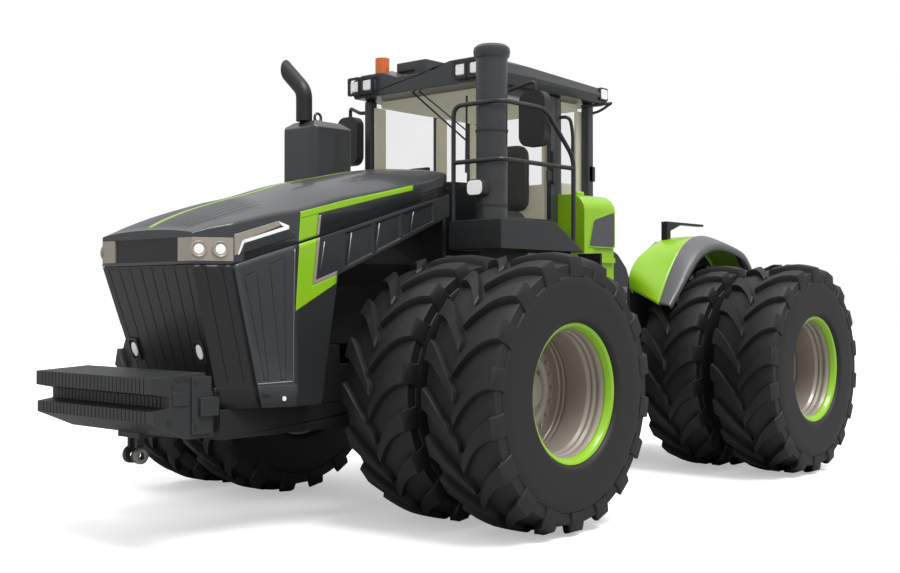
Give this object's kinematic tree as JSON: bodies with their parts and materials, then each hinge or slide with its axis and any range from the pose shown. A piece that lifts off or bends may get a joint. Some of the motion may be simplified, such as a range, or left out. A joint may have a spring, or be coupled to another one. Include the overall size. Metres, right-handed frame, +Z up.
{
  "type": "articulated farm tractor",
  "caption": "Large articulated four wheel drive farm tractor with dual wheels, a sloped hood, a glazed cab and front weights.",
  "frame": {"origin": "on the ground under the middle of the tractor's box", "axes": "+X forward to the weights, +Y to the tractor's left, +Z up"},
  "size_m": [7.9, 4.36, 3.9092],
  "materials": {
    "lime_paint": "gloss lime paint",
    "graphite_paint": "satin graphite paint",
    "panel_paint": "dark satin paint",
    "band_paint": "grey satin paint",
    "frame_paint": "dark grey paint",
    "dark_casting": "painted casting",
    "rod_steel": "polished rod",
    "weight_iron": "painted cast iron",
    "pipe_steel": "black heat proof paint",
    "glass": "clear tinted glass",
    "lamp_housing": "metallic greige paint",
    "lamp_lens": "clear lens",
    "amber_lens": "amber lens",
    "red_lens": "red lens",
    "seat_cloth": "woven cloth",
    "cab_plastic": "moulded plastic",
    "tyre_rubber": "matte rubber",
    "rim_paint": "metallic greige paint"
  },
  "bodies": {
    "front_frame": {"fuel_tanks": "lime_paint", "cab_roof": "graphite_paint", "cab_posts": "graphite_paint", "decks": "graphite_paint", "intake_stack": "graphite_paint", "exhaust_box": "graphite_paint", "mirrors": "graphite_paint", "hand_rails": "graphite_paint", "door_hinges": "graphite_paint", "roof_receiver": "graphite_paint", "grille": "panel_paint", "side_panels": "panel_paint", "cab_floor": "panel_paint", "cab_panels": "panel_paint", "cowl": "panel_paint", "front_frame": "frame_paint", "front_hinge": "frame_paint", "weight_carrier": "frame_paint", "tow_clevis": "frame_paint", "ladder": "frame_paint", "front_axle": "dark_casting", "engine": "dark_casting", "transmission": "dark_casting", "front_weights": "weight_iron", "exhaust_pipe": "pipe_steel", "cab_glass": "glass", "roof_lamps": "lamp_lens", "nose_lamps": "lamp_lens", "beacon": "amber_lens", "seat": "seat_cloth", "steering_column": "cab_plastic", "steering_wheel": "cab_plastic"},
    "hood": {"hood": "graphite_paint", "headlamps": "lamp_housing"},
    "door": {"cab_door": "graphite_paint", "door_glass": "glass"},
    "hinge_yoke": {"hinge_yoke": "frame_paint"},
    "rear_frame": {"rear_frame": "frame_paint", "rear_axle": "dark_casting", "rear_body": "panel_paint", "rear_fenders": "lime_paint", "fender_bands": "band_paint", "lamp_brackets": "panel_paint", "drawbar": "frame_paint", "couplers": "dark_casting", "tail_lamps": "red_lens"},
    "steering_barrel_left": {"steering_barrel_left": "dark_casting"},
    "steering_rod_left": {"steering_rod_left": "rod_steel"},
    "steering_barrel_right": {"steering_barrel_right": "dark_casting"},
    "steering_rod_right": {"steering_rod_right": "rod_steel"},
    "front_left_wheels": {"front_left_tyres": "tyre_rubber", "front_left_rims": "rim_paint"},
    "front_right_wheels": {"front_right_tyres": "tyre_rubber", "front_right_rims": "rim_paint"},
    "rear_left_wheels": {"rear_left_tyres": "tyre_rubber", "rear_left_rims": "rim_paint"},
    "rear_right_wheels": {"rear_right_tyres": "tyre_rubber", "rear_right_rims": "rim_paint"}
  },
  "joints": [
    {"name": "steering_hinge", "type": "hinge", "parent": "front_frame", "child": "hinge_yoke", "pos_m": [-0.645, 0, 0.99], "axis": [0, 0, 1], "range_deg": [-38, 38]},
    {"name": "frame_roll", "type": "hinge", "parent": "hinge_yoke", "child": "rear_frame", "pos_m": [-1.045, 0, 0.99], "axis": [1, 0, 0], "range_deg": [-12, 12]},
    {"name": "hood_lift", "type": "hinge", "parent": "front_frame", "child": "hood", "pos_m": [1.02, 0, 2.6], "axis": [0, -1, 0], "range_deg": [0, 40]},
    {"name": "door_swing", "type": "hinge", "parent": "front_frame", "child": "door", "pos_m": [0.57, 0.784, 2.9], "axis": [0, 0, -1], "range_deg": [0, 42]},
    {"name": "front_left_roll", "type": "hinge", "parent": "front_frame", "child": "front_left_wheels", "pos_m": [1.37, 1.46, 1.02], "axis": [0, 1, 0], "continuous": true},
    {"name": "front_right_roll", "type": "hinge", "parent": "front_frame", "child": "front_right_wheels", "pos_m": [1.37, -1.46, 1.02], "axis": [0, 1, 0], "continuous": true},
    {"name": "rear_left_roll", "type": "hinge", "parent": "rear_frame", "child": "rear_left_wheels", "pos_m": [-2.66, 1.46, 1.02], "axis": [0, 1, 0], "continuous": true},
    {"name": "rear_right_roll", "type": "hinge", "parent": "rear_frame", "child": "rear_right_wheels", "pos_m": [-2.66, -1.46, 1.02], "axis": [0, 1, 0], "continuous": true},
    {"name": "barrel_left_turn", "type": "hinge", "parent": "front_frame", "child": "steering_barrel_left", "pos_m": [0.415, 0.3, 0.93], "axis": [0, 0, 1], "range_deg": [-4, 4]},
    {"name": "rod_left_slide", "type": "slide", "parent": "steering_barrel_left", "child": "steering_rod_left", "axis": [-1, 0, 0], "range_m": [-0.2, 0.2]},
    {"name": "barrel_right_turn", "type": "hinge", "parent": "front_frame", "child": "steering_barrel_right", "pos_m": [0.415, -0.3, 0.93], "axis": [0, 0, 1], "range_deg": [-4, 4]},
    {"name": "rod_right_slide", "type": "slide", "parent": "steering_barrel_right", "child": "steering_rod_right", "axis": [-1, 0, 0], "range_m": [-0.2, 0.2]}
  ],
  "couplings": [
    {"joint": "barrel_left_turn", "follows": "steering_hinge", "ratio": 0.0651},
    {"joint": "rod_left_slide", "follows": "steering_hinge", "m_per_rad": 0.2785},
    {"joint": "barrel_right_turn", "follows": "steering_hinge", "ratio": 0.0651},
    {"joint": "rod_right_slide", "follows": "steering_hinge", "m_per_rad": -0.2785}
  ]
}
